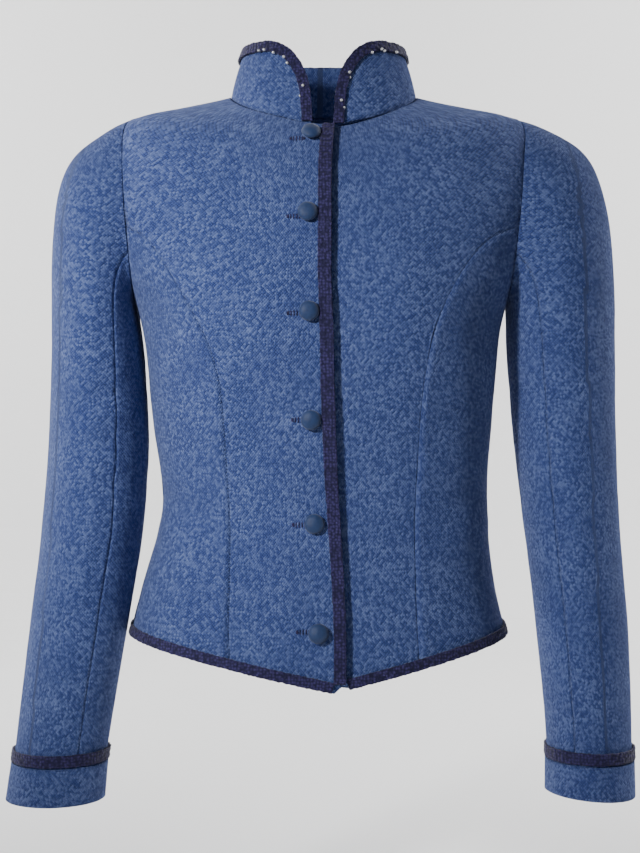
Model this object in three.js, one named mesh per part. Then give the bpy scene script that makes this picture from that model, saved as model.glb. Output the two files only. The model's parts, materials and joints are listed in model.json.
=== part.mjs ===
/**
 * Tyrolean loden jacket, filled out as if worn, with nobody in it.
 *
 * Millimetres. +X is to the wearer's left, +Y to the wearer's back, +Z up.
 * The origin is midway between the shoulders at the height of the side of the neck.
 *
 * The torso is one surface, torso(angle, level): the angle goes round the body in degrees
 * (0 centre front, 90 the wearer's left side, 180 centre back, -90 the right side) and the
 * level counts the rows of RINGS from the hem to the neckline. Every panel is a patch of it
 * between seams. A sleeve is a surface of its own, sleeve(turn, row), that starts on the
 * armhole. Trims and buttons take their points from the cloth they lie on, moved out.
 */
import * as THREE from "three";

// ---- Driving dimensions ----

const CLOTH = 2.2; // thickness of the loden
const COLLAR_CLOTH = 2.8; // two layers of it
const SEAM_GAP = 0.3; // between pieces that meet at a seam
const ROUNDNESS = 2.35; // exponent of the rings: 2 is an ellipse, more is squarer

const ARMHOLE = { middle: -103, halfHeight: 83.5, front: 27, back: 28, meets: 103 };
const LAP = { from: -76, to: -28, lift: 4.2, under: -12, corner: 0.12 };
const HEM_TIP = 9; // where the hem is lowest, to the wearer's left of the centre
const COLLAR = { right: 10, left: 9.5, top: 39, full: 62, curve: 0.42, least: 0.14 };
const BRAID = { width: 8.8, thickness: 1.7, lift: 0.9, over: 0.5 };
const CUFF = { rise: 0.45, thickness: 1.9, braid: 9.5 };
const BUTTON = { radius: 8.6, height: 6.4, standoff: 1.5 };

const table = (names, rows) =>
  rows.map((row) => Object.fromEntries(names.map((name, i) => [name, row[i]])));

// Rings of the torso, hem to neckline. side, front, back: height at the side, centre front
// and centre back; right, left: half widths; chest, spine: reach to the front and the back;
// dip: how sharply the height turns at the centre front.
const RINGS = table(
  ["side", "front", "back", "right", "left", "chest", "spine", "dip"],
  [
    [-479, -516, -481, 172.5, 164, 115, 108, 1.05],
    [-445, -470, -447, 164.5, 155, 111, 104, 1.05],
    [-405, -417, -406, 152.5, 149.5, 106.5, 96, 1],
    [-368, -373, -368, 143.5, 148, 103, 89, 1],
    [-330, -331, -330, 147, 148.5, 105, 90, 1],
    [-288, -288, -288, 153.5, 152, 110, 97, 1],
    [-240, -240, -240, 157.5, 156, 114.5, 106, 1],
    [-200, -202, -200, 163.5, 160, 115.5, 111, 1],
    [-150, -160, -150, 180, 178, 112, 113, 0.9],
    [-100, -120, -100, 190, 189, 104, 109, 0.8],
    [-55, -84, -55, 187, 187, 92, 99, 0.7],
    [-19.5, -57, -22, 172, 175, 80, 84, 0.6],
    [-8.5, -48, -14, 119, 120, 73, 73, 0.55],
    [0, -42, -6, 83, 84, 68, 62, 0.53],
  ],
);
const NECK = RINGS.length - 1;
const TIP = NECK - 2; // the ring through the shoulder tips

// Soft fullness pushed out of the rings: bust in front, shoulder blades behind.
const FULLNESS = table(
  ["face", "x", "z", "out", "wide", "high"],
  [
    [-1, 78, -205, 7.5, 46, 62],
    [1, 80, -120, 4, 48, 60],
  ],
);

// Seams down the front and the back, from the hem up: distance from the centre line.
const FRONT_SEAM = table(
  ["z", "right", "left"],
  [
    [-497, 77, 80],
    [-461, 79, 78],
    [-411, 77.5, 77],
    [-368, 77.8, 76.5],
    [-325, 81, 79],
    [-283, 83.3, 81],
    [-254, 86, 84.5],
    [-221, 97, 90],
    [-190, 114.5, 102],
    [-163, 131, 117],
    [-143, 144, 133],
    [-131, 156, 149],
  ],
);
const BACK_SEAM = table(
  ["z", "right", "left"],
  [
    [-482, 70, 68],
    [-445, 67, 66],
    [-405, 61, 61],
    [-368, 58, 58],
    [-325, 62, 62],
    [-280, 70, 70],
    [-240, 79, 79],
    [-205, 90, 90],
    [-175, 105, 105],
    [-150, 122, 122],
    [-131, 141, 141],
  ],
);

// Edge of the lapping front, from the hem up.
const LAP_EDGE = table(
  ["z", "x"],
  [
    [-517, 17.5],
    [-500, 19],
    [-461, 18.2],
    [-428, 16.6],
    [-394, 14.6],
    [-359, 12],
    [-325, 10.4],
    [-290, 9.6],
    [-255, 8.2],
    [-232, 8.6],
    [-205, 7.6],
    [-170, 5.9],
    [-135, 6.3],
    [-100, 6.3],
    [-70, 6.9],
    [-42, 9.4],
  ],
);

// Sleeves, armhole to wrist: outer and inner line of the arm in X and Z, how far the middle
// lies to the back, and half the depth from front to back.
const SLEEVE_COLUMNS = ["outX", "outZ", "inX", "inZ", "y", "deep"];
const SLEEVES = {
  right: table(SLEEVE_COLUMNS, [
    [173, -19.6, 167.3, -186.5, 0, 57],
    [188, -26.5, 167.6, -190.5, 0, 58],
    [203, -36.8, 166.4, -196, 0, 59.5],
    [220, -49, 165, -203, 0, 61],
    [232.5, -68, 163, -212, 0, 62],
    [239.5, -94, 161.4, -224, 0, 62],
    [243, -128, 160, -238, 0, 61.5],
    [243.5, -172, 158.8, -256, 0, 60],
    [243.2, -222, 157.4, -278, 0, 58],
    [244.8, -270, 156.5, -305, -1, 56],
    [246.5, -320.9, 156.7, -336.9, -3, 54],
    [250.9, -379.6, 159.8, -384.6, -6, 51.5],
    [256.9, -438.8, 167.6, -436.8, -11, 48.5],
    [262.4, -486.7, 175.7, -484.7, -16, 46],
    [267.6, -540.9, 184.2, -539, -22, 43.5],
    [271.7, -584.1, 190.7, -583.1, -27, 41.5],
    [276.5, -621.7, 193.8, -620.8, -31, 41],
  ]),
  left: table(SLEEVE_COLUMNS, [
    [176, -19.6, 165.8, -186.5, 0, 57],
    [190, -24, 166, -190.5, 0, 58],
    [206, -31.5, 165.2, -196, 0, 59.5],
    [224, -41, 164.8, -203, 0, 61],
    [240, -56, 164.6, -212, 0, 62],
    [251, -82, 164.8, -224, 0, 62],
    [258, -118, 165.4, -238, 0, 61.5],
    [261.5, -165, 166.6, -256, 0, 60],
    [262, -215, 168.4, -278, 0, 58],
    [262.2, -264, 170.9, -304, -1, 56],
    [263, -318, 173.8, -335.9, -3, 54],
    [264.6, -379.6, 179.6, -383.6, -6, 51.5],
    [269, -436.8, 186.1, -436.8, -11, 48.5],
    [271.7, -486.7, 190.3, -485.7, -16, 46],
    [272.3, -540.9, 195.4, -540, -22, 43.5],
    [272, -582.2, 198, -582.2, -27, 41.5],
    [272, -618.8, 197, -613.9, -31, 41],
  ]),
};
const WRIST = SLEEVES.right.length - 1;
const CUFF_TOP = WRIST - 0.86; // row of the sleeve where a turned-back cuff begins

// Turns round a sleeve in degrees: 0 outer side, 90 front, 180 underarm, 270 back.
const TURNS_FRONT = [0, 16, 32, 47, 62, 76, 90, ARMHOLE.meets, 120, 136, 151, 166, 180];
const TURNS = [...TURNS_FRONT, ...TURNS_FRONT.slice(1, -1).reverse().map((t) => 360 - t)];
const UNDER_FROM = 8; // index in TURNS of the front sleeve seam
const UNDER_TO = 16; // and of the back one
const UPPER_STEPS = TURNS_FRONT.indexOf(ARMHOLE.meets);

const BUTTONS = table(
  ["x", "z"],
  [
    [-10.6, -51],
    [-13, -120],
    [-12, -201.5],
    [-10, -290],
    [-7.2, -377],
    [-4, -467],
  ],
);

// ---- Small mathematics ----

const RAD = Math.PI / 180;
const lerp = (a, b, t) => a + (b - a) * t;
const clamp = (v, lo, hi) => Math.min(hi, Math.max(lo, v));
const steps = (n) => Array.from({ length: n + 1 }, (_, i) => i / n);

function smooth(from, to, v) {
  const t = clamp((v - from) / (to - from), 0, 1);
  return t * t * (3 - 2 * t);
}

/** Value of a table's column at a fractional row, along a Catmull-Rom curve. */
function along(rows, key, at) {
  const last = rows.length - 1;
  const i = clamp(Math.floor(at), 0, last - 1);
  const t = clamp(at, 0, last) - i;
  const value = (k) => rows[k][key];
  const p1 = value(i);
  const p2 = value(i + 1);
  const p0 = i > 0 ? value(i - 1) : 2 * p1 - p2;
  const p3 = i + 2 <= last ? value(i + 2) : 2 * p2 - p1;
  const a = 2 * p0 - 5 * p1 + 4 * p2 - p3;
  const b = 3 * (p1 - p2) + p3 - p0;
  return 0.5 * (2 * p1 + (p2 - p0) * t + a * t * t + b * t * t * t);
}

/** Argument at which a rising function reaches a value. */
function solve(rising, value, lo, hi) {
  for (let k = 0; k < 40; k++) {
    const mid = (lo + hi) / 2;
    if (rising(mid) < value) lo = mid;
    else hi = mid;
  }
  return (lo + hi) / 2;
}

/** Value of a column at a height z, for a table whose z rises. */
const atHeight = (rows, key, z) =>
  along(rows, key, solve((row) => along(rows, "z", row), z, 0, rows.length - 1));

// ---- The torso ----

const sideName = (side) => (side < 0 ? "right" : "left");
const power = (v) => Math.abs(v) ** (2 / ROUNDNESS);

/** How far the lapping front stands out over the other one at a distance from the centre. */
const lapLift = (x) => LAP.lift * smooth(LAP.from, LAP.to, x);

function fullness(face, x, z) {
  return FULLNESS.filter((bump) => bump.face === face).reduce((sum, bump) => {
    const across = (Math.abs(x) - bump.x) / bump.wide;
    const upward = (z - bump.z) / bump.high;
    return sum + bump.out * Math.exp(-across * across - upward * upward);
  }, 0);
}

/** Height of the torso at a distance x from the centre, on one face and level. */
function heightAt(face, x, half, level) {
  const middle = along(RINGS, face < 0 ? "front" : "back", level);
  const tip = face < 0 ? HEM_TIP * (1 - smooth(0, 3, level)) : 0;
  const bend = 16 * smooth(8, 11.5, level);
  const rounded = (v) => Math.hypot(v, bend) - bend;
  const away = rounded(x - tip) / rounded(half - Math.sign(x - tip) * tip);
  const share = Math.max(0, 1 - away) ** along(RINGS, "dip", level);
  return lerp(along(RINGS, "side", level), middle, share);
}

function torso(angle, level) {
  const sin = Math.sin(angle * RAD);
  const cos = Math.cos(angle * RAD);
  const half = along(RINGS, sideName(sin), level);
  const x = half * Math.sign(sin) * power(sin);
  const face = cos > 0 ? -1 : 1;
  const z = heightAt(face, x, half, level);
  const reach = along(RINGS, cos > 0 ? "chest" : "spine", level);
  const y = face * (reach * power(cos) + fullness(face, x, z) * Math.min(1, 3 * cos * cos));
  return new THREE.Vector3(x, y, z);
}

/** Angle of the torso at a distance x from the centre, on the front (face -1) or back (1). */
function angleOf(x, level, face = -1) {
  const share = Math.min(1, Math.abs(x) / along(RINGS, sideName(x), level));
  const angle = Math.asin(share ** (ROUNDNESS / 2)) / RAD;
  return Math.sign(x) * (face < 0 ? angle : 180 - angle);
}

/** Angle and level of the torso at a place seen from the front (face -1) or the back (1). */
function locate(x, z, face = -1) {
  const level = solve((s) => torso(angleOf(x, s, face), s).z, z, 0, NECK);
  return [angleOf(x, level, face), level];
}

const levelAtSide = (z) => solve((s) => along(RINGS, "side", s), z, 0, NECK);

/** Angle and level of the armhole of one side at a turn round the sleeve. */
function armhole(side, turn) {
  const sin = Math.sin(turn * RAD);
  const wide = sin > 0 ? ARMHOLE.front : ARMHOLE.back;
  const z = ARMHOLE.middle + ARMHOLE.halfHeight * Math.cos(turn * RAD);
  return [side * (90 - wide * sin), levelAtSide(z)];
}

/** A surface is a point for two numbers; its normal and steps along it come from the points. */
class Surface {
  constructor(point, sign = 1, step = [0.05, 0.004], span = [-Infinity, Infinity]) {
    this.point = point;
    this.sign = sign;
    this.step = step;
    this.span = span;
  }

  partials(a, at) {
    const [da, db] = this.step;
    const b = clamp(at, this.span[0] + db, this.span[1] - db);
    const slope = (p, q, h) => this.point(...p).sub(this.point(...q)).divideScalar(h);
    return [
      slope([a + da, b], [a - da, b], 2 * da),
      slope([a, b + db], [a, b - db], 2 * db),
    ];
  }

  normal(a, b) {
    const [pa, pb] = this.partials(a, b);
    return pa.cross(pb).normalize().multiplyScalar(this.sign);
  }

  out(a, b, distance) {
    return this.point(a, b).addScaledVector(this.normal(a, b), distance);
  }

  /** The pair reached from (a, b) by moving along the surface by a small vector. */
  walk([a, b], move) {
    const [pa, pb] = this.partials(a, b);
    const [aa, ab, bb] = [pa.dot(pa), pa.dot(pb), pb.dot(pb)];
    const [ma, mb] = [pa.dot(move), pb.dot(move)];
    const det = aa * bb - ab * ab;
    return [a + (ma * bb - mb * ab) / det, b + (mb * aa - ma * ab) / det];
  }
}

const levelIn = (level) => clamp(level, 0, NECK);
const bodySurface = (point) => new Surface(point, 1, [0.05, 0.004], [0, NECK]);
const BODY = bodySurface((a, s) => torso(a, levelIn(s)));
const LAPPING = bodySurface((a, s) => {
  const point = torso(a, levelIn(s));
  return point.addScaledVector(BODY.normal(a, s), lapLift(point.x));
});

// ---- Seams and edges, each a list of (angle, level) ----

const COUNT = { seam: 12, neck: 7, shoulder: 3, side: 5, back: 10, level: NECK };

/** Princess seam from the hem to the armhole, and on up the armhole to the shoulder tip. */
function princess(side, face) {
  const rows = face < 0 ? FRONT_SEAM : BACK_SEAM;
  const key = sideName(side);
  const turnAt = (k) => (face < 0 ? TURNS_FRONT[k] : 360 - TURNS_FRONT[k]);
  const end = armhole(side, turnAt(UPPER_STEPS));
  const marks = rows.map((row) => locate(side * row[key], row.z, face));
  marks[0][1] = 0;
  const known = table(["a", "s"], [...marks, end]);
  const place = (v) => [along(known, "a", v * rows.length), along(known, "s", v * rows.length)];
  return steps(COUNT.seam).map(place);
}

function armholeUpper(side, face) {
  const turnAt = (k) => (face < 0 ? TURNS_FRONT[k] : 360 - TURNS_FRONT[k]);
  const turns = steps(UPPER_STEPS).map((v, k) => turnAt(UPPER_STEPS - k));
  return turns.slice(1).map((turn) => armhole(side, turn));
}

function armholeLower(side, face) {
  const turnAt = (k) => (face < 0 ? TURNS_FRONT[k] : 360 - TURNS_FRONT[k]);
  const last = TURNS_FRONT.length - 1;
  return steps(last - UPPER_STEPS).map((v, k) => armhole(side, turnAt(UPPER_STEPS + k)));
}

/** Front edge of one side at given levels. */
function frontEdge(side, levels) {
  const xAt = (z) => (side < 0 ? atHeight(LAP_EDGE, "x", z) : LAP.under);
  return levels.map((level) => {
    let angle = 0;
    for (let k = 0; k < 6; k++) angle = angleOf(xAt(torso(angle, level).z), level);
    return [angle, level];
  });
}

/** Levels of a panel's rows at its straight edge, matched to the rows at its seam. */
function levelsFrom(seam, top) {
  const turn = seam[COUNT.seam][1];
  const tip = seam.at(-1)[1];
  return seam.map(([, s]) => (s <= turn ? s : lerp(turn, top, (s - turn) / (tip - turn))));
}

/** Coons patch: fills four edges of (angle, level) pairs that meet at their ends. */
function patch(bottom, top, start, end) {
  return bottom.map((b, i) => {
    const u = i / (bottom.length - 1);
    return start.map((l, j) => {
      const v = j / (start.length - 1);
      return [0, 1].map((k) => {
        const across = lerp(start[j][k], end[j][k], u);
        const upward = lerp(b[k], top[i][k], v);
        const low = lerp(bottom[0][k], bottom.at(-1)[k], u);
        const high = lerp(top[0][k], top.at(-1)[k], u);
        return across + upward - lerp(low, high, v);
      });
    });
  });
}

/** Pairs along the hem between two angles. */
const hemLine = (from, to, n) => steps(n).map((v) => [lerp(from, to, v), 0]);

/** Neckline from the front edge to the side of the neck, then the shoulder seam. */
function neckAndShoulder(from, side) {
  const neck = steps(COUNT.neck).map((v) => [lerp(from, side * 90, v), NECK]);
  const shoulder = steps(COUNT.shoulder).map((v) => [side * 90, lerp(NECK, TIP, v)]);
  return [...neck, ...shoulder.slice(1)];
}

// ---- Solids ----

/** Closed solid between two grids of points; a ring closes on itself along its first index. */
function solidBetween(outer, inner, ring = false) {
  const columns = outer.length;
  const rows = outer[0].length;
  const points = [...outer.flat(), ...inner.flat()];
  const at = (i, j, back) => (back ? columns * rows : 0) + (i % columns) * rows + j;
  const faces = [];
  const far = (p, q) => points[p].distanceTo(points[q]);
  const quad = (a, b, c, d) =>
    faces.push(...(far(a, c) <= far(b, d) ? [a, b, c, a, c, d] : [a, b, d, b, c, d]));
  const last = ring ? columns : columns - 1;
  for (let i = 0; i < last; i++) {
    for (let j = 0; j < rows - 1; j++) {
      quad(at(i, j), at(i + 1, j), at(i + 1, j + 1), at(i, j + 1));
      quad(at(i, j, 1), at(i, j + 1, 1), at(i + 1, j + 1, 1), at(i + 1, j, 1));
    }
    quad(at(i, 0), at(i, 0, 1), at(i + 1, 0, 1), at(i + 1, 0));
    quad(at(i, rows - 1), at(i + 1, rows - 1), at(i + 1, rows - 1, 1), at(i, rows - 1, 1));
  }
  for (let j = 0; !ring && j < rows - 1; j++) {
    const e = columns - 1;
    quad(at(0, j), at(0, j + 1), at(0, j + 1, 1), at(0, j, 1));
    quad(at(e, j), at(e, j, 1), at(e, j + 1, 1), at(e, j + 1));
  }
  return outward(points, faces);
}

/** Indexed geometry, its faces turned to look out of the solid. */
function outward(points, faces) {
  const volume = faces.reduce((sum, p, k) => {
    if (k % 3) return sum;
    const [a, b, c] = [points[p], points[faces[k + 1]], points[faces[k + 2]]];
    return sum + a.dot(b.clone().cross(c));
  }, 0);
  const turned = volume < 0 ? faces.slice().reverse() : faces;
  const geometry = new THREE.BufferGeometry().setFromPoints(points);
  geometry.setIndex(turned);
  geometry.computeVertexNormals();
  return geometry;
}

/** Moves the border points of a grid inwards along the cloth, to open the seam gap. */
function pullIn(grid, distance) {
  const columns = grid.length - 1;
  const rows = grid[0].length - 1;
  const moved = grid.map((column) => column.map((p) => p.clone()));
  const shift = (i, j, inI, inJ, tangent) => {
    const move = grid[inI][inJ].clone().sub(grid[i][j]);
    move.addScaledVector(tangent, -move.dot(tangent) / tangent.lengthSq());
    moved[i][j].addScaledVector(move.normalize(), distance);
  };
  const between = (p, q) => q.clone().sub(p);
  for (let j = 0; j <= rows; j++) {
    const [low, high] = [Math.max(0, j - 1), Math.min(rows, j + 1)];
    shift(0, j, 1, j, between(grid[0][low], grid[0][high]));
    shift(columns, j, columns - 1, j, between(grid[columns][low], grid[columns][high]));
  }
  for (let i = 0; i <= columns; i++) {
    const [low, high] = [Math.max(0, i - 1), Math.min(columns, i + 1)];
    shift(i, 0, i, 1, between(grid[low][0], grid[high][0]));
    shift(i, rows, i, rows - 1, between(grid[low][rows], grid[high][rows]));
  }
  return moved;
}

/** Cloth on a surface between pairs; inward(a, b) may override where its inner face goes. */
function cloth(surface, pairs, thickness, inward) {
  const direction = (pair) => inward?.(pair) ?? surface.normal(...pair).negate();
  const outer = pullIn(
    pairs.map((column) => column.map((pair) => surface.point(...pair))),
    SEAM_GAP / 2,
  );
  const inner = pairs.map((column, i) =>
    column.map((pair, j) => outer[i][j].clone().addScaledVector(direction(pair), thickness)),
  );
  return solidBetween(outer, inner);
}

/** A trim laid on a surface along a path, reaching sideways from the path by some widths. */
function trim(surface, path, reach, { lift, thickness }, ring = false) {
  const last = path.length - 1;
  const near = (k) => (ring ? (k + path.length) % path.length : clamp(k, 0, last));
  const spans = path.map((pair, k) => {
    const tangent = surface
      .point(...path[near(k + 1)])
      .sub(surface.point(...path[near(k - 1)]));
    const sideways = surface.normal(...pair).cross(tangent).normalize();
    return reach.map((w) => surface.walk(pair, sideways.clone().multiplyScalar(w)));
  });
  const layer = (height) => spans.map((span) => span.map((p) => surface.out(...p, height)));
  return solidBetween(layer(lift + thickness), layer(lift), ring);
}

// ---- Sleeves ----

/** Surface of one sleeve: its rows are ellipses that begin as the armhole itself. */
function sleeveSurface(side) {
  const rows = SLEEVES[sideName(side)];
  const ellipse = (turn, row) => {
    const [outX, outZ, inX, inZ, y, deep] = SLEEVE_COLUMNS.map((key) => along(rows, key, row));
    const cos = Math.cos(turn * RAD);
    const sin = Math.sin(turn * RAD);
    const x = (outX + inX) / 2 + ((outX - inX) / 2) * cos;
    const z = (outZ + inZ) / 2 + ((outZ - inZ) / 2) * cos;
    return new THREE.Vector3(side * x, y - deep * sin, z);
  };
  const seamShift = new THREE.Vector3(side * SEAM_GAP * 1.5, 0, 0);
  const point = (turn, at) => {
    const row = clamp(at, 0, WRIST);
    const held = (1 - clamp(row / 4.5, 0, 1)) ** 2;
    const edge = torso(...armhole(side, turn)).add(seamShift);
    const miss = edge.sub(ellipse(turn, 0));
    return ellipse(turn, row).addScaledVector(miss, held);
  };
  return new Surface(point, side, [0.5, 0.02]);
}

const SLEEVE_ROWS = [0, 0.5, 1, 1.6, 2.3, 3, 3.8, 4.6, 5.5, 6.4, 7.2, 8, 8.8, 9.5]
  .concat([10.2, 10.9, 11.6, 12.4, 13.2, 14.1, 15, WRIST]);

/** Where the inner face of the cloth goes at the armhole: halfway between body and sleeve. */
function armholeInward(side, surface, turn) {
  const body = BODY.normal(...armhole(side, turn));
  return body.add(surface.normal(turn, 0.06)).normalize().negate();
}

function sleevePiece(side, turns) {
  const surface = SLEEVE_SURFACE[sideName(side)];
  const pairs = turns.map((turn) => SLEEVE_ROWS.map((row) => [turn, row]));
  const inward = ([turn, row]) => (row === 0 ? armholeInward(side, surface, turn) : null);
  return cloth(surface, pairs, CLOTH, inward);
}

const SLEEVE_SURFACE = { right: sleeveSurface(-1), left: sleeveSurface(1) };
const UNDER_TURNS = TURNS.slice(UNDER_FROM, UNDER_TO + 1);
const TOP_TURNS = [...TURNS.slice(UNDER_TO).map((t) => t - 360), ...TURNS.slice(0, UNDER_FROM + 1)];

function cuff(side) {
  const surface = SLEEVE_SURFACE[sideName(side)];
  const rows = [CUFF_TOP, lerp(CUFF_TOP, WRIST, 0.35), lerp(CUFF_TOP, WRIST, 0.7), WRIST];
  const layer = (out) => TURNS.map((turn) => rows.map((row) => surface.out(turn, row, out)));
  return solidBetween(layer(CUFF.rise + CUFF.thickness), layer(CUFF.rise), true);
}

function cuffBraid(side) {
  const surface = SLEEVE_SURFACE[sideName(side)];
  const upward = side < 0 ? 1 : -1;
  const path = TURNS.map((turn) => [turn, CUFF_TOP - 0.02]);
  const reach = [0.6, 0.6 + CUFF.braid].map((w) => w * upward);
  return trim(surface, path, reach, { lift: BRAID.lift, thickness: CUFF.thickness }, true);
}

// ---- Torso panels ----

/** Keeps the inner face at the armhole on the halfway line that the sleeve uses too. */
function inwardAtArmhole(side) {
  const surface = SLEEVE_SURFACE[sideName(side)];
  const known = TURNS.map((turn) => ({ turn, pair: armhole(side, turn) }));
  return ([a, s]) => {
    const angle = side < 0 && a > 180 ? a - 360 : a;
    const hit = known.find(
      ({ pair }) => Math.abs(pair[0] - angle) < 1e-6 && Math.abs(pair[1] - s) < 1e-6,
    );
    return hit ? armholeInward(side, surface, hit.turn) : null;
  };
}

function frontCentre(side) {
  const seam = [...princess(side, -1), ...armholeUpper(side, -1)];
  const edge = frontEdge(side, levelsFrom(seam, NECK));
  if (side < 0) roundLapCorner(edge);
  const bottom = side < 0 ? lappingHem(edge[0], seam[0]) : lowerHem(edge, seam[0]);
  const top = neckAndShoulder(edge.at(-1)[0], side);
  const surface = side < 0 ? LAPPING : BODY;
  return cloth(surface, patch(bottom, top, edge, seam), CLOTH, inwardAtArmhole(side));
}

/** The lower corner of the lapping front is a little higher than the tip beside it. */
function roundLapCorner(edge) {
  edge[0] = [edge[0][0], LAP.corner];
}

/** Hem of the lapping front: its corner, its tip, then evenly to the seam. */
function lappingHem(corner, seam) {
  const tip = angleOf(HEM_TIP, 0);
  return [corner, ...hemLine(tip, seam[0], COUNT.neck + COUNT.shoulder - 1)];
}

/** Hem of the front underneath, raised a little where the other covers it. */
function lowerHem(edge, seam) {
  const line = hemLine(edge[0][0], seam[0], COUNT.neck + COUNT.shoulder);
  const raised = line.map(([a]) => [a, LAP.corner * (1 - smooth(8, 24, torso(a, 0).x))]);
  edge[0] = raised[0];
  return raised;
}

function sidePanel(side, face) {
  const seam = princess(side, face);
  const top = armholeLower(side, face);
  const under = top.at(-1)[1];
  const sideSeam = seam.map(([, s], j) => [side * 90, (j / COUNT.seam) * under]);
  const bottom = hemLine(seam[0][0], side * 90, top.length - 1);
  return cloth(BODY, patch(bottom, top, seam, sideSeam), CLOTH, inwardAtArmhole(side));
}

const roundBack = ([a, s]) => [a < 0 ? a + 360 : a, s];

function backCentre() {
  const [left, right] = [1, -1].map((side) =>
    [...princess(side, 1), ...armholeUpper(side, 1)].map(roundBack),
  );
  const neck = hemLine(90, 270, COUNT.back).map(([a]) => [a, NECK]);
  const shoulder = steps(COUNT.shoulder).map((v) => lerp(TIP, NECK, v));
  const up = shoulder.slice(0, -1).map((s) => [90, s]);
  const down = shoulder.slice(0, -1).reverse().map((s) => [270, s]);
  const top = [...up, ...neck, ...down];
  const bottom = hemLine(left[0][0], right[0][0], top.length - 1);
  const hold = { left: inwardAtArmhole(1), right: inwardAtArmhole(-1) };
  const inward = (pair) => (pair[0] < 180 ? hold.left(pair) : hold.right(pair));
  return cloth(BODY, patch(bottom, top, left, right), CLOTH, inward);
}

// ---- Collar ----

/** The collar stands on the neckline and leans in to a smaller ring; f is 0 to 1 upwards. */
const COLLAR_SURFACE = new Surface((angle, f) => {
  const base = torso(angle, NECK);
  const lean = base.y < 0 ? 0.8 : 0.86;
  const top = new THREE.Vector3(base.x * 0.86, base.y * lean, COLLAR.top);
  const bow = 1.2 * Math.sin(Math.PI * clamp(f, 0, 1));
  const point = base.lerp(top, f);
  return point.addScaledVector(new THREE.Vector3(point.x, point.y, 0).normalize(), bow);
}, 1, [0.05, 0.004]);

/** Share of the full height that the collar reaches at an angle. */
function collarHeight(angle) {
  const x = Math.abs(torso(angle, NECK).x);
  if (Math.abs(angle) > 75) return 1;
  const from = COLLAR[sideName(angle)];
  const u = clamp((x - from) / (COLLAR.full - from), 0, 1);
  return lerp(COLLAR.least, 1, (1 - (1 - u) ** 2) ** COLLAR.curve);
}

/** Angles round the collar, from its left front edge past the back to the right one. */
function collarAngles() {
  const front = (x) => steps(12).map((v) => lerp(angleOf(x, NECK), Math.sign(x) * 78, v ** 1.7));
  const left = front(COLLAR.left);
  const right = front(-COLLAR.right).map((a) => a + 360).reverse();
  const back = steps(16).map((v) => lerp(78, 282, v));
  return [...left, ...back.slice(1, -1), ...right];
}

const wrapped = (angle) => (angle > 180 ? angle - 360 : angle);
const COLLAR_ANGLES = collarAngles();

function collar() {
  const pairs = COLLAR_ANGLES.map(wrapped).map((angle) => {
    const x = torso(angle, NECK).x;
    const rise = x < 0 ? lapLift(x) / LAP.lift : 0.7 * smooth(60, 20, x);
    return steps(3).map((v) => [angle, lerp(0.012 + 0.04 * rise, collarHeight(angle), v)]);
  });
  const outer = pairs.map((column) => column.map((pair) => COLLAR_SURFACE.point(...pair)));
  const inner = pairs.map((column) =>
    column.map((pair) => COLLAR_SURFACE.out(...pair, -COLLAR_CLOTH)),
  );
  return solidBetween(outer, inner);
}

function collarBraid() {
  const crest = COLLAR_ANGLES.map((angle) => [angle, collarHeight(wrapped(angle))]);
  const path = [[crest[0][0], 0.055], ...crest, [crest.at(-1)[0], 0.075]];
  const surface = new Surface((a, f) => COLLAR_SURFACE.point(wrapped(a), f));
  const reach = [BRAID.over, -BRAID.width / 2, -BRAID.width];
  return trim(surface, path, reach, BRAID);
}

// ---- Braids on the torso, and buttons ----

function frontEdgeBraid() {
  const seam = [...princess(-1, -1), ...armholeUpper(-1, -1)];
  const edge = frontEdge(-1, levelsFrom(seam, NECK));
  roundLapCorner(edge);
  edge.pop();
  const reach = [-BRAID.over, BRAID.width / 2, BRAID.width];
  return trim(LAPPING, edge, reach, { ...BRAID, lift: 1.2 });
}

/** Hem angles of every panel in turn, from beside the front braid round to the lap. */
function hemAngles() {
  const corner = torso(...frontEdge(-1, [LAP.corner])[0]).x;
  const columns = COUNT.neck + COUNT.shoulder;
  const lower = TURNS_FRONT.length - 1 - UPPER_STEPS;
  const seamAt = (side, face) => princess(side, face)[0][0];
  const inner = angleOf(corner - BRAID.width - 3, 0);
  const beyond = angleOf(corner + 3, 0);
  const line = (from, to, n) => hemLine(from, to, n).map(([a]) => a);
  return [
    inner,
    ...line(angleOf(HEM_TIP, 0), seamAt(-1, -1), columns - 1).slice(1),
    ...line(seamAt(-1, -1), -90, lower).slice(1),
    ...line(-90, seamAt(-1, 1), lower).slice(1),
    ...line(seamAt(-1, 1), seamAt(1, 1) - 360, COUNT.back + 2 * COUNT.shoulder).slice(1),
    ...line(seamAt(1, 1) - 360, 90 - 360, lower).slice(1),
    ...line(90 - 360, seamAt(1, -1) - 360, lower).slice(1),
    ...line(seamAt(1, -1) - 360, beyond - 360, columns).slice(1),
  ];
}

function hemBraid() {
  const surface = bodySurface((a, s) => {
    const angle = a < -180 ? a + 360 : a;
    return (angle > -90 && angle < 10 && a > -180 ? LAPPING : BODY).point(angle, s);
  });
  const path = hemAngles().map((a) => [a, 0]);
  const reach = [0, BRAID.width / 2, BRAID.width].map((w) => -w);
  return trim(surface, path, reach, BRAID);
}

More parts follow.
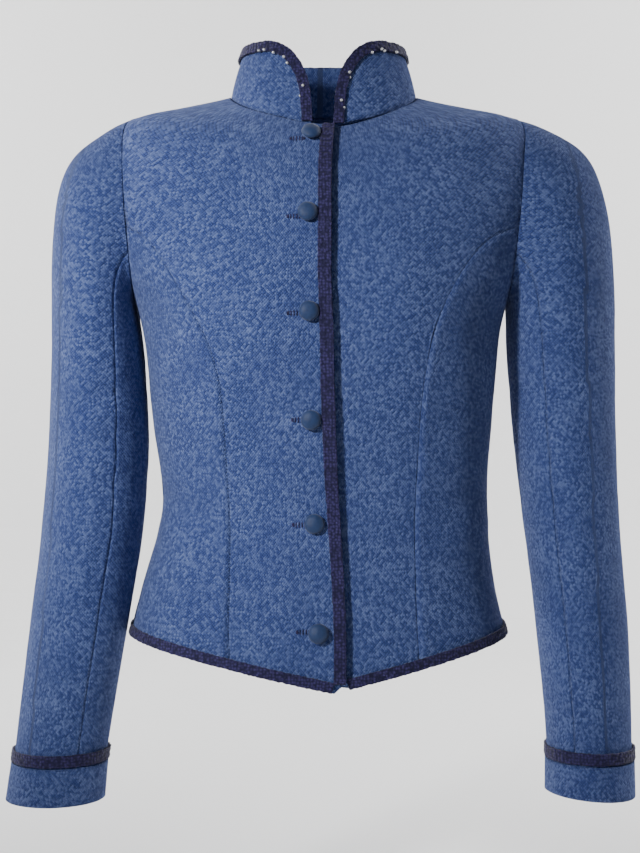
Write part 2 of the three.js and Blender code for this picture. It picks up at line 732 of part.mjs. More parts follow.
function button({ x, z }) {
  const { radius, height } = BUTTON;
  const profile = [
    [0, 0],
    [radius * 0.8, 0],
    [radius * 0.97, height * 0.14],
    [radius, height * 0.32],
    [radius * 0.9, height * 0.62],
    [radius * 0.62, height * 0.88],
    [radius * 0.3, height * 0.975],
    [0, height],
  ].map(([r, h]) => new THREE.Vector2(r, h));
  const geometry = new THREE.LatheGeometry(profile, 24);
  const pair = locate(x, z);
  const normal = LAPPING.normal(...pair);
  const turn = new THREE.Quaternion().setFromUnitVectors(new THREE.Vector3(0, 1, 0), normal);
  geometry.applyQuaternion(turn);
  const seat = LAPPING.out(...pair, BUTTON.standoff);
  return geometry.translate(seat.x, seat.y, seat.z);
}

// ---- The part ----

const FINISHES = {
  loden: [0x4a63a8, 0.95],
  braid: [0x241f55, 0.85],
  button: [0x20406f, 0.8],
};

function part() {
  const jacket = new THREE.Group();
  jacket.name = "tyrolean_loden_jacket";
  const add = (name, finish, geometry) => {
    const [color, roughness] = FINISHES[finish];
    const material = new THREE.MeshStandardMaterial({ color, roughness, metalness: 0 });
    const mesh = new THREE.Mesh(geometry, material);
    mesh.name = name;
    jacket.add(mesh);
  };
  for (const side of [-1, 1]) {
    const name = sideName(side);
    add(`front_${name}_centre`, "loden", frontCentre(side));
    add(`front_${name}_side`, "loden", sidePanel(side, -1));
    add(`back_${name}_side`, "loden", sidePanel(side, 1));
    add(`sleeve_${name}_top`, "loden", sleevePiece(side, TOP_TURNS));
    add(`sleeve_${name}_under`, "loden", sleevePiece(side, UNDER_TURNS));
    add(`cuff_${name}`, "loden", cuff(side));
    add(`cuff_braid_${name}`, "braid", cuffBraid(side));
  }
  add("back_centre", "loden", backCentre());
  add("collar", "loden", collar());
  add("front_edge_braid", "braid", frontEdgeBraid());
  add("hem_braid", "braid", hemBraid());
  add("collar_braid", "braid", collarBraid());
  BUTTONS.forEach((place, i) => add(`button_${i + 1}`, "button", button(place)));
  return jacket;
}

export default part();
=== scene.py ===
"""Looks of a tyrolean loden jacket: milled wool, crochet braid, covered buttons and beads."""

import json
import logging
import math
from dataclasses import dataclass, field
from enum import Enum

import bmesh
import bpy
from mathutils import Matrix, Vector, noise
from mathutils.bvhtree import BVHTree

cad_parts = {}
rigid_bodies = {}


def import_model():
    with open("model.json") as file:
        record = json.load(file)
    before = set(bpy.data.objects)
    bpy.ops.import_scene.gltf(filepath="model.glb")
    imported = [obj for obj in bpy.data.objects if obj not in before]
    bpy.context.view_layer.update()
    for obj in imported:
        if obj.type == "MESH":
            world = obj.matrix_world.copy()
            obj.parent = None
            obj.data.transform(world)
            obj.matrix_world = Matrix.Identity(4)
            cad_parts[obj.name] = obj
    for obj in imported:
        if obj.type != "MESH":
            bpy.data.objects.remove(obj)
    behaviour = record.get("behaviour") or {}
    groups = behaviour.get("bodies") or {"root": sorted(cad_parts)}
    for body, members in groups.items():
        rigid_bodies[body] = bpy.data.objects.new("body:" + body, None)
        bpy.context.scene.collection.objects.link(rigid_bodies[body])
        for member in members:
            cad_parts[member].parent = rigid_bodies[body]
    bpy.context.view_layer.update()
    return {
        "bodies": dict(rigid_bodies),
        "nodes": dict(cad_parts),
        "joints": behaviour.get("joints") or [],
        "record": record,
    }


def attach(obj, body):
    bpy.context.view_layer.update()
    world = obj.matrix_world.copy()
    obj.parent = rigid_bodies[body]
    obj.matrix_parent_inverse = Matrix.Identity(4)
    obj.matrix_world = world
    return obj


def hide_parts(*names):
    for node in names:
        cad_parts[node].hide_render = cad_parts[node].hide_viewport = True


LOG = logging.getLogger("loden_jacket")

PER_METRE = 1e3
CLOTH_RIM = 0.75  # radians between faces, past which a rim is held sharp
BUTTON_RIM = 1.2
SLEEVE_DROP = 0.63  # height over which a sleeve's middle moves, in metres

Colour = tuple[float, float, float, float]
Place = tuple[float, float, float]


class Face(Enum):
    """The side of the jacket that a crease lies on."""

    FRONT = -1
    BACK = 1
    ROUND = 0


# ---- Finishes ----


@dataclass(frozen=True)
class NodeBench:
    """Short ways to add and join shader nodes of one material."""

    tree: bpy.types.NodeTree

    def add(self, kind: str, **settings: object) -> bpy.types.Node:
        """Adds a node and sets its properties, or its inputs where the name is one.

        Args:
            kind: the node type's identifier without its ShaderNode start.
            settings: property or input names and their values.

        Returns:
            The new node.
        """
        node = self.tree.nodes.new("ShaderNode" + kind)
        for name, value in settings.items():
            if hasattr(node, name):
                setattr(node, name, value)
            else:
                node.inputs[name.replace("_", " ")].default_value = value
        return node

    def join(self, out: bpy.types.NodeSocket, into: bpy.types.NodeSocket) -> None:
        """Joins two sockets."""
        self.tree.links.new(out, into)

    def texture(
        self, kind: str, vector: bpy.types.NodeSocket, **settings: object
    ) -> bpy.types.Node:
        """Adds a texture node that reads the given coordinates.

        Args:
            kind: the texture's name without its ShaderNodeTex start.
            vector: socket of the coordinates.
            settings: as in add.

        Returns:
            The texture node.
        """
        node = self.add("Tex" + kind, **settings)
        self.join(vector, node.inputs["Vector"])
        return node

    def raise_by(
        self,
        height: bpy.types.NodeSocket,
        shader: bpy.types.Node,
        strength: float,
        distance: float,
    ) -> None:
        """Adds fine relief to a shader.

        Args:
            height: socket of the relief's height.
            shader: the shader that gets it.
            strength: share of the relief, from nought to one.
            distance: height of the relief, in metres.
        """
        bump = self.add("Bump", Strength=strength, Distance=distance)
        self.join(height, bump.inputs["Height"])
        self.join(bump.outputs[0], shader.inputs["Normal"])

    def maths(self, operation: str, a: object, b: object = 0.0) -> bpy.types.NodeSocket:
        """A Math node on two values or sockets.

        Args:
            operation: the operation's name.
            a: first value or socket.
            b: second value or socket.

        Returns:
            The result's socket.
        """
        node = self.add("Math", operation=operation)
        for socket, value in zip(node.inputs, (a, b)):
            if isinstance(value, bpy.types.NodeSocket):
                self.join(value, socket)
            else:
                socket.default_value = value
        return node.outputs[0]

    def blend(self, share: object, low: object, high: object) -> bpy.types.NodeSocket:
        """A colour mix of two colours or sockets.

        Args:
            share: factor socket.
            low: colour or socket at factor nought.
            high: colour or socket at factor one.

        Returns:
            The mixed colour's socket.
        """
        node = self.add("Mix", data_type="RGBA")
        self.join(share, node.inputs[0])
        for socket, value in ((node.inputs[6], low), (node.inputs[7], high)):
            if isinstance(value, bpy.types.NodeSocket):
                self.join(value, socket)
            else:
                socket.default_value = value
        return node.outputs[2]


def fresh_material(name: str) -> tuple[bpy.types.Material, NodeBench, bpy.types.Node]:
    """Makes an empty node material.

    Args:
        name: the material's name.

    Returns:
        The material, its bench and its principled shader.
    """
    material = bpy.data.materials.new(name)
    material.use_nodes = True
    bench = NodeBench(material.node_tree)
    shader = material.node_tree.nodes["Principled BSDF"]
    return material, bench, shader


def finish(shader: bpy.types.Node, **inputs: object) -> None:
    """Sets a shader's inputs by name, with underscores for the spaces."""
    for name, value in inputs.items():
        shader.inputs[name.replace("_", " ")].default_value = value


@dataclass(frozen=True)
class LodenWeave:
    """Milled melange wool: light and dark threads in small slanting cells, the dark between cells
    being dark thread and painted shade in their hollows, with soft fuzz.
    """

    name: str = "milled_loden"
    pitch: float = 0.0019
    slant: float = 0.785
    # shade is a darker copy of the body blue, painted into the hollows between cells as painted
    # shade
    shade: Colour = (0.012, 0.02, 0.085, 1)
    body: Colour = (0.055, 0.1, 0.36, 1)
    fleck: Colour = (0.25, 0.34, 0.68, 1)
    relief: float = 0.85

    def make(self) -> bpy.types.Material:
        """Makes the cloth material on the piece's own UV map, which is in metres.

        Returns:
            The material.
        """
        material, bench, shader = fresh_material(self.name)
        place = bench.add("TexCoord")
        turn = bench.add("Mapping")
        turn.inputs["Rotation"].default_value = (0, 0, self.slant)
        turn.inputs["Scale"].default_value = (1 / self.pitch, 1 / self.pitch, 1)
        bench.join(place.outputs["UV"], turn.inputs["Vector"])
        cells = bench.texture(
            "Voronoi", turn.outputs[0], voronoi_dimensions="2D", Scale=1.0, Randomness=0.3
        )
        tone = bench.add("SeparateColor")
        bench.join(cells.outputs["Color"], tone.inputs[0])
        fibre = bench.texture("Noise", place.outputs["Object"], Scale=2600.0, Detail=3.0)
        drift = bench.texture("Noise", place.outputs["Object"], Scale=26.0, Detail=4.0)
        valley = bench.maths("SMOOTH_MAX", bench.maths("SUBTRACT", 0.62, cells.outputs[0]), 0.0)
        grown = bench.maths("MULTIPLY", valley, 1.7)
        # painted shade: the cloth falls to the shade colour where the cells' relief is lowest, in
        # the hollows between them
        cloth = bench.blend(grown, self.shade, self.body)
        flecked = bench.maths("POWER", tone.outputs[0], 1.5)
        lit = bench.maths("MULTIPLY", flecked, bench.maths("MULTIPLY", fibre.outputs[0], 1.25))
        melange = bench.blend(lit, cloth, self.fleck)
        worn = bench.blend(drift.outputs[0], melange, cloth)
        uneven = bench.blend(bench.maths("SUBTRACT", 1.0, drift.outputs[0]), worn, melange)
        bench.join(uneven, shader.inputs["Base Color"])
        height = bench.maths("ADD", grown, bench.maths("MULTIPLY", fibre.outputs[0], 0.5))
        bench.raise_by(height, shader, self.relief, 0.0009)
        finish(
            shader,
            Roughness=0.93,
            Specular_IOR_Level=0.18,
            Sheen_Weight=0.22,
            Sheen_Roughness=0.55,
            Sheen_Tint=(0.55, 0.65, 1, 1),
        )
        return material


@dataclass(frozen=True)
class CrochetYarn:
    """Crochet braid in navy yarn with a violet chain worked along it, the navy darkened to near
    black in the hollows between loops as painted shade.
    """

    name: str = "crochet_yarn"
    loop: float = 0.0026
    # navy yarn colour, taken darker than the yarn as painted shade for the hollows between loops
    navy_and_hollow_shade: Colour = (0.008, 0.007, 0.045, 1)
    chain: Colour = (0.075, 0.06, 0.235, 1)

    def make(self) -> bpy.types.Material:
        """Makes the yarn material on Object coordinates.

        Returns:
            The material.
        """
        material, bench, shader = fresh_material(self.name)
        place = bench.add("TexCoord")
        spot = place.outputs["Object"]
        loops = bench.texture("Voronoi", spot, Scale=1 / self.loop, Randomness=0.55)
        twist = bench.texture("Noise", spot, Scale=1500.0, Detail=3.0, Distortion=0.6)
        crest = bench.maths("SUBTRACT", 1.0, bench.maths("MULTIPLY", loops.outputs[0], 1.6))
        share = bench.maths("MULTIPLY", crest, bench.maths("MULTIPLY", twist.outputs[0], 1.5))
        # navy yarn with painted shade: the low hollows between loops take the near-black colour,
        # and the crests take the violet chain
        bench.join(bench.blend(share, self.navy_and_hollow_shade, self.chain), shader.inputs["Base Color"])
        bench.raise_by(bench.maths("ADD", crest, twist.outputs[0]), shader, 0.7, 0.0008)
        finish(shader, Roughness=0.75, Specular_IOR_Level=0.3, Sheen_Weight=0.15)
        return material


@dataclass(frozen=True)
class Suede:
    """Short-napped cloth over the buttons."""

    name: str = "button_suede"
    low: Colour = (0.004, 0.014, 0.065, 1)
    high: Colour = (0.012, 0.05, 0.17, 1)

    def make(self) -> bpy.types.Material:
        """Makes the suede material on Object coordinates.

        Returns:
            The material.
        """
        material, bench, shader = fresh_material(self.name)
        place = bench.add("TexCoord")
        nap = bench.texture("Noise", place.outputs["Object"], Scale=900.0, Detail=5.0)
        patch = bench.texture("Noise", place.outputs["Object"], Scale=160.0, Detail=3.0)
        share = bench.maths("MULTIPLY", nap.outputs[0], bench.maths("ADD", patch.outputs[0], 0.5))
        bench.join(bench.blend(share, self.low, self.high), shader.inputs["Base Color"])
        bench.raise_by(nap.outputs[0], shader, 0.35, 0.0004)
        finish(shader, Roughness=0.62, Sheen_Weight=0.3)
        return material


@dataclass(frozen=True)
class SilverBead:
    """Small silvered glass beads."""

    name: str = "silver_bead"

    def make(self) -> bpy.types.Material:
        """Makes the bead material, a little uneven in tone.

        Returns:
            The material.
        """
        material, bench, shader = fresh_material(self.name)
        place = bench.add("TexCoord")
        tone = bench.texture("Noise", place.outputs["Object"], Scale=700.0, Detail=1.0)
        mixed = bench.blend(tone.outputs[0], (0.6, 0.6, 0.64, 1), (0.95, 0.95, 0.95, 1))
        bench.join(mixed, shader.inputs["Base Color"])
        finish(shader, Metallic=0.35, Roughness=0.18)
        return material


# ---- Shared making ----


def settle(thing: bpy.types.Object, material: bpy.types.Material) -> bpy.types.Object:
    """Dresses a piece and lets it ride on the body.

    Args:
        thing: the piece.
        material: its only material.

    Returns:
        The same piece.
    """
    thing.data.materials.clear()
    thing.data.materials.append(material)
    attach(thing, "root")
    for polygon in thing.data.polygons:
        polygon.use_smooth = True
    return thing


def piece_from(mesh: bmesh.types.BMesh, name: str) -> bpy.types.Object:
    """Turns a bmesh into an object at the origin and frees the bmesh.

    Args:
        mesh: the finished bmesh.
        name: the piece's name.

    Returns:
        The new object.
    """
    data = bpy.data.meshes.new(name)
    mesh.to_mesh(data)
    mesh.free()
    thing = bpy.data.objects.new(name, data)
    bpy.context.scene.collection.objects.link(thing)
    return thing


def merged_copy(node: bpy.types.Object, sharp: float) -> bmesh.types.BMesh:
    """Copies a CAD node as quads, with its rims held sharp for subdivision.

    Args:
        node: the CAD node.
        sharp: face angle, in radians, past which an edge is held.

    Returns:
        A merged bmesh.
    """
    mesh = bmesh.new()
    mesh.from_mesh(node.data)
    bmesh.ops.remove_doubles(mesh, verts=mesh.verts[:], dist=2e-5)
    bmesh.ops.join_triangles(
        mesh, faces=mesh.faces[:], angle_face_threshold=0.6, angle_shape_threshold=2.6
    )
    layer = mesh.edges.layers.float.new("crease_edge")
    for edge in mesh.edges:
        if len(edge.link_faces) == 2 and edge.calc_face_angle() > sharp:
            edge[layer] = 1.0
    return mesh


def refine(mesh: bmesh.types.BMesh, name: str, levels: int) -> bpy.types.Object:
    """Subdivides a bmesh and returns the smooth mesh as a plain object.

    Args:
        mesh: the cage, freed here.
        name: the piece's name.
        levels: subdivision levels.

    Returns:
        The object, with no modifier left on it.
    """
    thing = piece_from(mesh, name)
    smooth = thing.modifiers.new("smooth", "SUBSURF")
    smooth.levels = smooth.render_levels = levels
    done = bpy.data.meshes.new_from_object(
        thing.evaluated_get(bpy.context.evaluated_depsgraph_get())
    )
    thing.modifiers.clear()
    thing.data = done
    return thing


# ---- Cloth ----


@dataclass(frozen=True)
class Crease:
    """A soft trough, or a ridge where its depth is negative, from one point to another."""

    face: Face
    start: tuple[float, float]
    end: tuple[float, float]
    width: float
    depth: float

    def push(self, point: Vector) -> float:
        """How far the crease moves a point inwards.

        Args:
            point: a place in the row frame, in metres.

        Returns:
            The distance inwards, in metres.
        """
        if self.face is not Face.ROUND and point.y * self.face.value < 0:
            return 0.0
        a, b = Vector(self.start), Vector(self.end)
        line = b - a
        here = Vector((point.x, point.z))
        along = (here - a).dot(line) / line.length_squared
        away = (here - a - line * min(1.0, max(0.0, along))).length
        ends = min(1.0, max(0.0, 1.2 - abs(along - 0.5) * 1.6))
        return self.depth * ends * math.exp(-((away / self.width) ** 2))


def creases(*rows: tuple[Face, float, float, float, float, float, float]) -> list[Crease]:
    """Creases from rows of face, start x and z, end x and z, width, depth in millimetres."""
    return [
        Crease(
            face,
            (x0 / PER_METRE, z0 / PER_METRE),
            (x1 / PER_METRE, z1 / PER_METRE),
            width / PER_METRE,
            depth / PER_METRE,
        )
        for face, x0, z0, x1, z1, width, depth in rows
    ]


F, B, R = Face.FRONT, Face.BACK, Face.ROUND
TORSO_CREASES = creases(
    (F, -28, -128, -70, -140, 5, 0.9),
    (F, -28, -204, -78, -214, 5, 1.0),
    (F, -30, -290, -66, -300, 5, 0.8),
    (F, -30, -377, -72, -372, 5, 0.9),
    (F, -28, -462, -62, -452, 5, 0.8),
    (F, -152, -352, -96, -372, 9, 1.6),
    (F, -148, -384, -104, -396, 8, -1.2),
    (F, 150, -344, 100, -366, 9, 1.5),
    (F, 150, -380, 106, -388, 8, -1.2),
    (F, -160, -170, -128, -228, 9, 1.5),
    (F, 158, -166, 126, -226, 9, 1.5),
    (F, -120, -60, -150, -110, 12, 1.1),
    (F, 120, -60, 150, -110, 12, 1.1),
    (B, -60, -352, 62, -360, 10, 1.6),
    (B, -74, -386, 70, -382, 9, -1.2),
    (B, -150, -180, -120, -240, 10, 1.5),
    (B, 150, -184, 122, -246, 10, 1.5),
    (B, -70, -30, 64, -34, 10, 0.9),
)
SLEEVE_CREASES = creases(
    (R, -166, -258, -222, -282, 9, 1.9),
    (R, -168, -300, -226, -322, 8, 1.6),
    (R, -162, -342, -214, -352, 9, 2.0),
    (R, -172, -392, -230, -372, 10, -1.4),
    (R, -186, -448, -244, -470, 11, 1.3),
    (R, -196, -530, -250, -512, 11, 1.2),
    (R, -200, -66, -214, -130, 10, 1.3),
    (R, 174, -262, 232, -286, 9, 1.9),
    (R, 178, -318, 238, -334, 8, 1.7),
    (R, 184, -362, 244, -350, 9, 1.8),
    (R, 190, -418, 250, -440, 10, -1.4),
    (R, 200, -496, 256, -478, 11, 1.3),
    (R, 206, -556, 262, -540, 11, 1.1),
    (R, 214, -70, 226, -136, 10, 1.3),
)


@dataclass(frozen=True)
class Unevenness:
    """The broad swell and fine ripple of milled cloth."""

    swell: float = 0.0005
    swell_rate: float = 22.0
    ripple: float = 0.00018
    ripple_rate: float = 90.0

    def at(self, point: Vector) -> float:
        """Distance inwards at a point, in metres."""
        swell = self.swell * noise.noise(point * self.swell_rate)
        return swell + self.ripple * noise.noise(point * self.ripple_rate)


@dataclass(frozen=True)
class CollarSeat:
    """How far the back of the collar's base is let down into the neck seam."""

    node: str = "collar"
    below: float = 0.004
    top: float = 0.012
    floor: float = -0.008
    rate: float = 0.16

    def drop(self, point: Vector) -> float:
        """Distance down at a point of the collar, in metres."""
        if point.y <= 0.0 or point.z >= self.below:
            return 0.0
        return self.rate * (self.top - max(point.z, self.floor))


UNEVENNESS = Unevenness()
COLLAR_SEAT = CollarSeat()
FOLD_REACH = 0.16  # how far across from its start a fold can act, in metres


@dataclass
class ClothPiece:
    """One cut piece of loden: its node, its flat cut and how the weave lies on it."""

    node: str
    flat: tuple[float, float]
    area: float
    radius: float
    axis_top: tuple[float, float] = (0.0, 0.0)
    axis_low: tuple[float, float] = (0.0, 0.0)
    folds: list[Crease] = field(default_factory=list)
    levels: int = 2

    def build(self, frame: dict, cloth: bpy.types.Material) -> bpy.types.Object:
        """Builds, creases, unwraps and dresses the piece.

        Args:
            cloth: the loden material.

        Returns:
            The finished piece.
        """
        mesh = merged_copy(frame["nodes"][self.node], CLOTH_RIM)
        thing = refine(mesh, self.node + "_cloth", self.levels)
        self.crease(thing.data)
        self.unwrap(thing.data)
        settle(thing, cloth)
        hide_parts(self.node)
        LOG.info("%s: %d faces", thing.name, len(thing.data.polygons))
        return thing

    def crease(self, data: bpy.types.Mesh) -> None:
        """Moves both skins together, so that the cloth keeps its thickness.

        Args:
            data: the piece's mesh, changed in place.
        """
        for vertex in data.vertices:
            point = vertex.co
            centre = self.centre(point.z)
            inward = (Vector((centre[0], centre[1], point.z)) - point).normalized()
            near = [fold for fold in self.folds if abs(fold.start[0] - point.x) < FOLD_REACH]
            depth = sum(fold.push(point) for fold in near)
            depth += UNEVENNESS.at(point)
            vertex.co = point + inward * depth
            if self.node == COLLAR_SEAT.node:
                vertex.co.z -= COLLAR_SEAT.drop(vertex.co)

    def centre(self, z: float) -> tuple[float, float]:
        """Middle of the tube of cloth at a height."""
        share = min(1.0, max(0.0, -z / SLEEVE_DROP))
        return tuple(a + (b - a) * share for a, b in zip(self.axis_top, self.axis_low))

    def unwrap(self, data: bpy.types.Mesh) -> None:
        """Rolls the piece out flat round its tube, in metres.

        Args:
            data: the piece's mesh, which gets the UV map.
        """
        count = len(data.vertices)
        middle = sum((v.co for v in data.vertices), Vector()) / count
        at = self.centre(middle.z)
        facing = math.atan2(middle.y - at[1], middle.x - at[0])
        layer = data.uv_layers.new(name="cut")
        for loop in data.loops:
            point = data.vertices[loop.vertex_index].co
            x, y = self.centre(point.z)
            turn = math.atan2(point.y - y, point.x - x) - facing
            turn = (turn + math.pi) % (2 * math.pi) - math.pi
            layer.data[loop.index].uv = (turn * self.radius, point.z)


# ---- Trims ----


@dataclass
class Braid:
    """A crochet braid: lumpy loops raised on the plain band."""

    node: str
    flat: tuple[float, float]
    loop: float = 0.0031
    rise: float = 0.0011
    crest: float = 0.62
    levels: int = 4

    def build(self, frame: dict, yarn: bpy.types.Material) -> bpy.types.Object:
        """Builds the braid with its loops and dresses it.

        Args:
            yarn: the crochet material.

        Returns:
            The finished braid.
        """
        mesh = merged_copy(frame["nodes"][self.node], CLOTH_RIM)
        thing = refine(mesh, self.node + "_crochet", self.levels)
        places = [(v.co.copy(), v.normal.copy()) for v in thing.data.vertices]
        for vertex, (point, normal) in zip(thing.data.vertices, places):
            vertex.co = point + normal * self.height(point)
        settle(thing, yarn)
        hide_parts(self.node)
        LOG.info("%s: %d faces", thing.name, len(thing.data.polygons))
        return thing

    def height(self, point: Vector) -> float:
        """Rise of the loops at a point."""
        distances, _ = noise.voronoi(point / self.loop, distance_metric="DISTANCE")
        return self.rise * (self.crest - distances[0])


@dataclass
class CoveredButton:
    """A domed button covered in cloth."""

    number: int

    def build(self, frame: dict, suede: bpy.types.Material) -> bpy.types.Object:
        """Builds the button a little uneven, as stretched cloth is.

        Args:
            suede: the covering.

        Returns:
            The finished button.
        """
        node = f"button_{self.number}"
        thing = refine(merged_copy(frame["nodes"][node], BUTTON_RIM), node + "_covered", 2)
        for vertex in thing.data.vertices:
            vertex.co += vertex.normal * 0.00022 * noise.noise(vertex.co * 260.0)
        settle(thing, suede)
        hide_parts(node)
        LOG.info("%s ready", thing.name)
        return thing


@dataclass
class SmallThings:
    """What sits on the finished cloth: beads on the collar and worked buttonholes."""

    bead_radius: float = 0.00135
    bars: int = 15
    bar: Place = (0.0006, 0.0013, 0.0006)
    hole: tuple[float, float] = (6.2, 1.15)
    beads: tuple[tuple[float, float], ...] = (
        (-65.5, 29.3), (-66.4, 23.2), (-50.7, 31), (-50.2, 24.5), (-33.6, 22.4), (-34, 15.4),
        (-17.5, -3.9), (-20, -13.9), (63.8, 31.1), (62, 25.1), (50.7, 31.6), (47.2, 25.2),
        (22.8, 8.1), (25.5, 2.5), (15.7, -17), (19.2, -22.7),
    )  # fmt: skip
    holes: tuple[tuple[float, float], ...] = (
        (-22, -52.5), (-24, -122), (-23.5, -203), (-20, -290.5), (-19.5, -377.5), (-16, -465.5),
    )  # fmt: skip

    def touch(self, tree: BVHTree, x: float, z: float) -> tuple[Vector, Vector]:
        """First place that a line from the front meets.

        Args:
            tree: what it may meet.
            x: across, in millimetres.
            z: height, in millimetres.

        Returns:
            The place and the normal there.
        """
        start = Vector((x / PER_METRE, -0.4, z / PER_METRE))
        hit, normal, _, _ = tree.ray_cast(start, Vector((0, 1, 0)))
        if hit is None:
            hit, normal, _, _ = tree.find_nearest(Vector((x / PER_METRE, -0.06, z / PER_METRE)))
        return hit, -normal if normal.y > 0 else normal

    def string_beads(self, braid: bpy.types.Object, silver: bpy.types.Material) -> None:
        """Sews the beads on the collar braid.

        Args:
            braid: the finished collar braid.
            silver: the bead material.
        """
        tree = BVHTree.FromObject(braid, bpy.context.evaluated_depsgraph_get())
        mesh = bmesh.new()
        for x, z in self.beads:
            place, normal = self.touch(tree, x, z)
            spot = Matrix.Translation(place + normal * self.bead_radius * 0.5)
            bmesh.ops.create_icosphere(mesh, subdivisions=3, radius=self.bead_radius, matrix=spot)
        settle(piece_from(mesh, "collar_beads"), silver)
        LOG.info("collar_beads: %d beads", len(self.beads))

    def work_holes(self, front: bpy.types.Object, yarn: bpy.types.Material) -> None:
        """Works a barred buttonhole beside each button.

        Args:
            front: the finished lapping front.
            yarn: the crochet material.
        """
        tree = BVHTree.FromObject(front, bpy.context.evaluated_depsgraph_get())
        mesh = bmesh.new()
        for x, z in self.holes:
            for k in range(self.bars):
                turn = 2 * math.pi * k / self.bars
                across, up = self.hole[0] * math.cos(turn), self.hole[1] * math.sin(turn)
                place, normal = self.touch(tree, x + across, z + up)
                face = normal.to_track_quat("Z", "Y").to_matrix().to_4x4()
                shape = Matrix.Diagonal((*self.bar, 1))
                spot = Matrix.Translation(place + normal * 0.0002) @ face @ shape
                bmesh.ops.create_icosphere(mesh, subdivisions=2, radius=1, matrix=spot)
        settle(piece_from(mesh, "worked_buttonholes"), yarn)
        LOG.info("worked_buttonholes: %d", len(self.holes))


# ---- The room ----


@dataclass
class Studio:
    """Pale floor and wall, soft lights and the camera."""

    distance: float = 1.35
    height: float = -0.296
    lens: float = 63.3
    floor_z: float = -0.80

    def build(self) -> None:
        """Builds the room round the jacket."""
        self.sweep()
        self.beam((-0.95, -1.25, 0.25), 105, (-0.07, 0, -0.27))
        self.lamp("fill", (-0.6, -2.2, 0.2), 2.0, 4, (0, 0, -0.35))
        self.lamp("wall_wash_left", (-1.6, 0.9, 0.8), 1.6, 60, (0, 2.4, -0.3))
        self.lamp("wall_wash_right", (1.6, 0.9, 0.8), 1.6, 60, (0, 2.4, -0.3))
        self.sky()
        self.camera()

    def sweep(self) -> None:
        """A floor that turns up into a wall."""
        mesh = bmesh.new()
        low = [mesh.verts.new((x, -3.0, self.floor_z)) for x in (-4, 4)]
        edge = mesh.edges.new(low)
        moves = [(0, 5.0, 0)] + [
            (0, 0.08 * math.cos(a), 0.08 * math.sin(a)) for a in (0.2, 0.5, 0.8, 1.1, 1.4)
        ] + [(0, 0, 4.0)]
        for move in moves:
            made = bmesh.ops.extrude_edge_only(mesh, edges=[edge])["geom"]
            fresh = [g for g in made if isinstance(g, bmesh.types.BMVert)]
            bmesh.ops.translate(mesh, verts=fresh, vec=move)
            edge = next(
                g for g in made
                if isinstance(g, bmesh.types.BMEdge) and all(v in fresh for v in g.verts)
            )
        bmesh.ops.recalc_face_normals(mesh, faces=mesh.faces[:])
        floor = piece_from(mesh, "pale_sweep")
        material, bench, shader = fresh_material("pale_paper")
        place = bench.add("TexCoord")
        grain = bench.add("TexNoise", Scale=3.0, Detail=2.0)
        bench.join(place.outputs["Object"], grain.inputs["Vector"])
        mixed = bench.blend(grain.outputs[0], (0.9, 0.9, 0.9, 1), (0.93, 0.93, 0.93, 1))
        bench.join(mixed, shader.inputs["Base Color"])
        shader.inputs["Roughness"].default_value = 0.9
        floor.data.materials.append(material)

    def lamp(
        self, name: str, place: Place, size: float, power: float, target: Place
    ) -> None:
        """Adds a soft area light.

        Args:
            name: the light's name.
            place: where it stands.
            size: side of its square, in metres.
            power: watts.
            target: what it points at.
        """
        light = bpy.data.lights.new(name, "AREA")
        light.size, light.energy = size, power
        self.hang(light, place, target)

    def beam(self, place: Place, power: float, target: Place) -> None:
        """Adds the soft-edged key light, which falls off towards both sleeves.

        Args:
            place: where it stands.
            power: watts.
            target: what it points at.
        """
        light = bpy.data.lights.new("key", "SPOT")
        light.energy, light.shadow_soft_size = power, 0.09
        light.spot_size, light.spot_blend = 0.62, 1.0
        self.hang(light, place, target)

    def hang(self, light: bpy.types.Light, place: Place, target: Place) -> None:
        """Hangs a light in the room.

        Args:
            light: the light.
            place: where it stands.
            target: what it points at.
        """
        thing = bpy.data.objects.new(light.name, light)
        thing.location = place
        aim = Vector(target) - Vector(place)
        thing.rotation_euler = aim.to_track_quat("-Z", "Y").to_euler()
        bpy.context.scene.collection.objects.link(thing)

    def sky(self) -> None:
        """A weak even light all round."""
        world = bpy.data.worlds.new("soft_room")
        world.use_nodes = True
        back = world.node_tree.nodes["Background"]
        back.inputs[0].default_value = (1, 1, 1, 1)
        back.inputs[1].default_value = 0.12
        bpy.context.scene.world = world

    def camera(self) -> None:
        """The camera, level and square to the front."""
        data = bpy.data.cameras.new("camera")
        data.lens, data.sensor_width = self.lens, 36
        data.clip_start, data.clip_end = 0.05, 50
        thing = bpy.data.objects.new("camera", data)
        thing.location = (-0.0027, -self.distance, self.height)
        thing.rotation_euler = (math.pi / 2, 0, 0)
        bpy.context.scene.collection.objects.link(thing)
        bpy.context.scene.camera = thing


# ---- The jacket ----


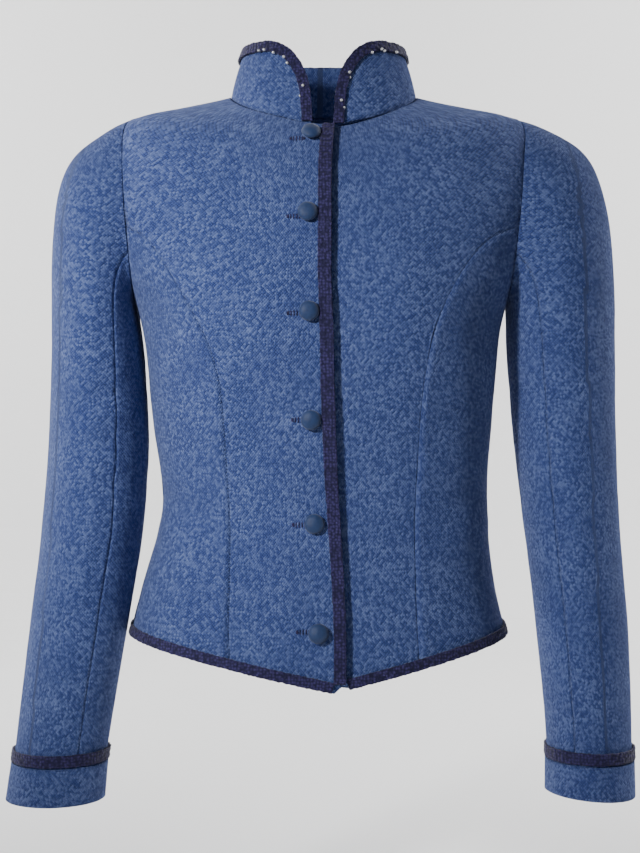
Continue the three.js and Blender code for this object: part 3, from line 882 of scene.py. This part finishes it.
@dataclass
class Jacket:
    """All the cut pieces and trims, in the order that they are sewn."""

    body_radius: float = 0.142
    sleeve_radius: float = 0.05

    def torso_pieces(self) -> list[ClothPiece]:
        """The seven panels and the collar, with their flat cuts in metres."""
        cuts = (
            ("front_right_centre", (0.20, 0.52), 0.0672),
            ("front_right_side", (0.16, 0.40), 0.0435),
            ("front_left_centre", (0.20, 0.52), 0.0659),
            ("front_left_side", (0.16, 0.40), 0.0442),
            ("back_centre", (0.38, 0.52), 0.1157),
            ("back_right_side", (0.16, 0.38), 0.0459),
            ("back_left_side", (0.16, 0.38), 0.0451),
        )
        panels = [ClothPiece(n, f, a, self.body_radius, folds=TORSO_CREASES) for n, f, a in cuts]
        return [*panels, ClothPiece("collar", (0.42, 0.075), 0.0217, 0.07)]

    def arm_pieces(self) -> list[ClothPiece]:
        """Both sleeves and cuffs, each round its own arm."""
        arms = (
            ("right", (-0.200, 0.0), (-0.240, -0.031)),
            ("left", (0.210, 0.0), (0.240, -0.031)),
        )
        cuts = (
            ("sleeve_{}_top", (0.27, 0.64), 0.119),
            ("sleeve_{}_under", (0.13, 0.50), 0.047),
            ("cuff_{}", (0.275, 0.039), 0.0100),
        )
        return [
            ClothPiece(n.format(s), f, a, self.sleeve_radius, top, low, SLEEVE_CREASES)
            for s, top, low in arms
            for n, f, a in cuts
        ]

    def braids(self) -> list[Braid]:
        """The five braids with their flat sizes in metres."""
        return [
            Braid("front_edge_braid", (0.0115, 0.49)),
            Braid("hem_braid", (0.0115, 0.98)),
            Braid("collar_braid", (0.0115, 0.52)),
            Braid("cuff_braid_right", (0.0115, 0.277)),
            Braid("cuff_braid_left", (0.0115, 0.268)),
        ]

    def build(self, frame: dict) -> None:
        """Builds every piece.
        """
        loden, yarn = LodenWeave().make(), CrochetYarn().make()
        suede, silver = Suede().make(), SilverBead().make()
        sewn = {
            part.node: part.build(frame, loden)
            for part in [*self.torso_pieces(), *self.arm_pieces()]
        }
        bands = {braid.node: braid.build(frame, yarn) for braid in self.braids()}
        for number in range(1, 7):
            CoveredButton(number).build(frame, suede)
        small = SmallThings()
        small.string_beads(bands["collar_braid"], silver)
        small.work_holes(sewn["front_right_centre"], yarn)


def main() -> None:
    """Builds the jacket and its room."""
    logging.basicConfig(level=logging.INFO, format="%(message)s")
    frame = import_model()
    Jacket().build(frame)
    Studio().build()


if __name__ == "__main__":
    main()
